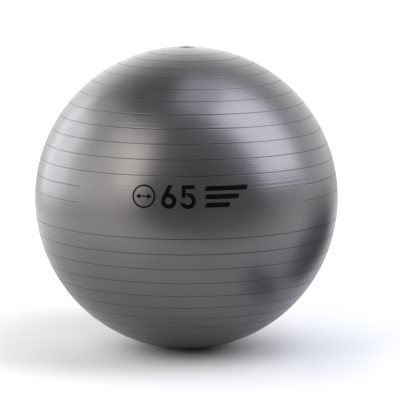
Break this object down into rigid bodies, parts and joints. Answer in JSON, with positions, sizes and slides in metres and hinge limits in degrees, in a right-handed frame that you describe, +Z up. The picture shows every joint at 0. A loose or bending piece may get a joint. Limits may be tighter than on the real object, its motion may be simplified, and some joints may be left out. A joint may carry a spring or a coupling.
{
  "type": "exercise ball",
  "caption": "Inflated exercise ball with fine ring grooves, a smooth front panel and a pull-out stopper plug in a valve seat at the top.",
  "frame": {"origin": "middle of the flat contact patch that the ball rests on, straight under the valve", "axes": "+Z up along the ball's axis through the valve, -Y towards the middle of the smooth front panel, +X to that panel's right"},
  "size_m": [0.65, 0.65, 0.6492],
  "materials": {
    "ball_vinyl": "satin",
    "valve_seat_vinyl": "satin",
    "plug_plastic": "satin"
  },
  "bodies": {
    "ball": {"ball_shell": "ball_vinyl", "valve_seat": "valve_seat_vinyl"},
    "plug": {"valve_plug": "plug_plastic"}
  },
  "joints": [
    {"name": "plug_pull", "type": "slide", "parent": "ball", "child": "plug", "axis": [0, 0, 1], "range_m": [0, 0.045]}
  ]
}
